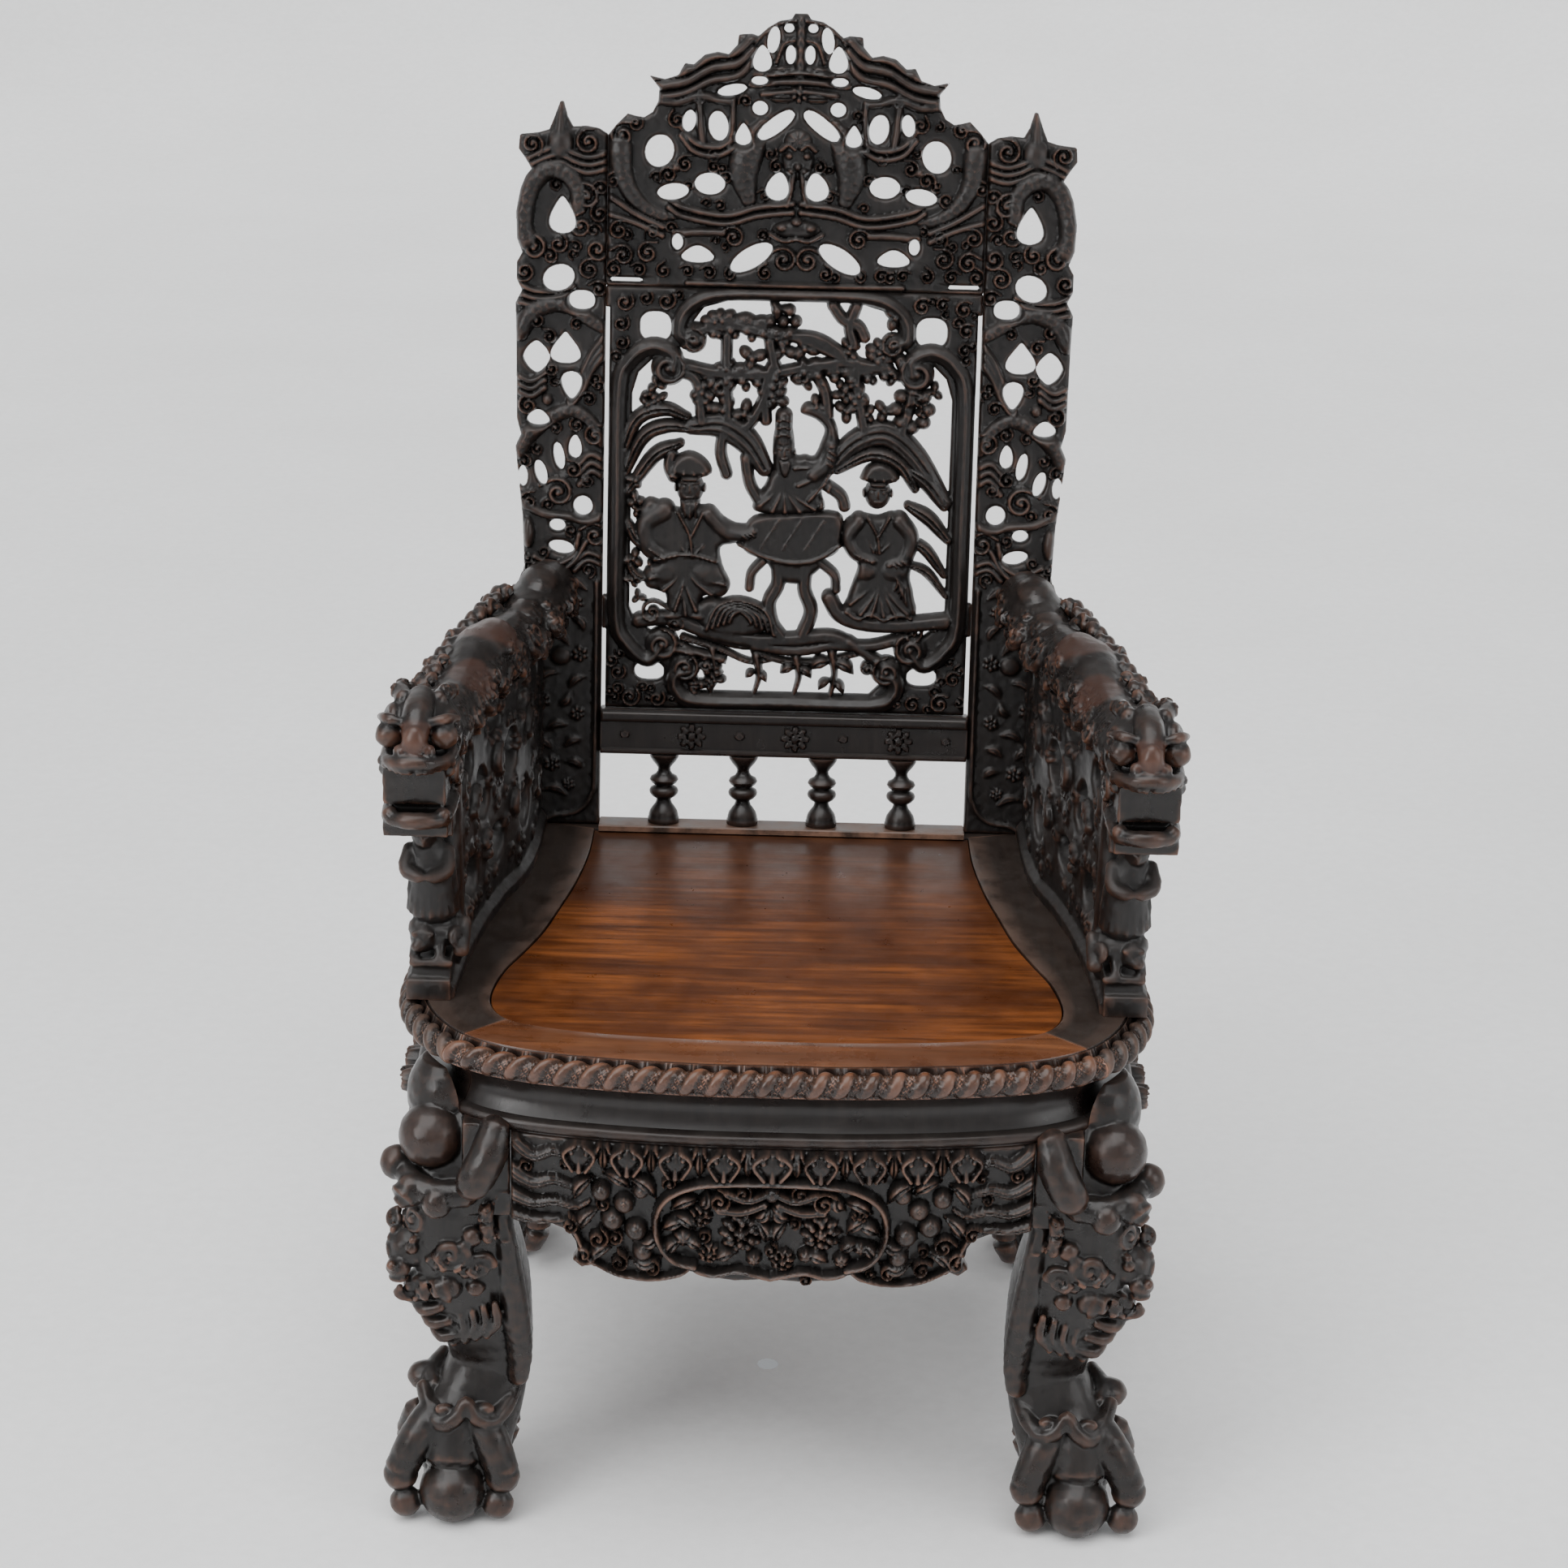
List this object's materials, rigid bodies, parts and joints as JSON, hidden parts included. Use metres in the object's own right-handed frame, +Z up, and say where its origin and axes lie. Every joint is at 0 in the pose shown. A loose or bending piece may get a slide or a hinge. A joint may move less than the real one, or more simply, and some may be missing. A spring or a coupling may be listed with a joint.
{
  "type": "throne",
  "caption": "Carved dark hardwood throne armchair with dragon arms, a pierced garden-scene back, bowed seat and claw-and-ball feet.",
  "frame": {"origin": "on the floor, under the middle of the chair's box", "axes": "+Z up, the front of the chair faces -Y, +X is the viewer's right from the front"},
  "size_m": [0.676, 0.6609, 1.224],
  "materials": {
    "carved_wood": "dark near-black stained hardwood, semi-gloss, dusty grey on tops and worn reddish brown on high points",
    "frame_wood": "dark brown hardwood seat frame, worn to reddish brown on the rope edge",
    "seat_wood": "polished orange-brown hardwood with dark streaks across"
  },
  "bodies": {
    "root": {"seat_board_front": "frame_wood", "seat_board_left": "frame_wood", "seat_board_right": "frame_wood", "seat_board_back": "frame_wood", "seat_panel": "seat_wood", "waist_front": "carved_wood", "waist_left": "carved_wood", "waist_right": "carved_wood", "waist_back": "carved_wood", "apron_front": "carved_wood", "apron_left": "carved_wood", "apron_right": "carved_wood", "apron_back": "carved_wood", "leg_front_left": "carved_wood", "leg_front_right": "carved_wood", "leg_rear_left": "carved_wood", "leg_rear_right": "carved_wood", "back_wing_left": "carved_wood", "back_wing_right": "carved_wood", "back_crest": "carved_wood", "back_panel": "carved_wood", "back_lower_rail": "carved_wood", "baluster_1": "carved_wood", "baluster_2": "carved_wood", "baluster_3": "carved_wood", "baluster_4": "carved_wood", "back_shoe_rail": "carved_wood", "arm_dragon_left": "carved_wood", "arm_dragon_right": "carved_wood", "arm_support_left": "carved_wood", "arm_support_right": "carved_wood"}
  },
  "joints": []
}
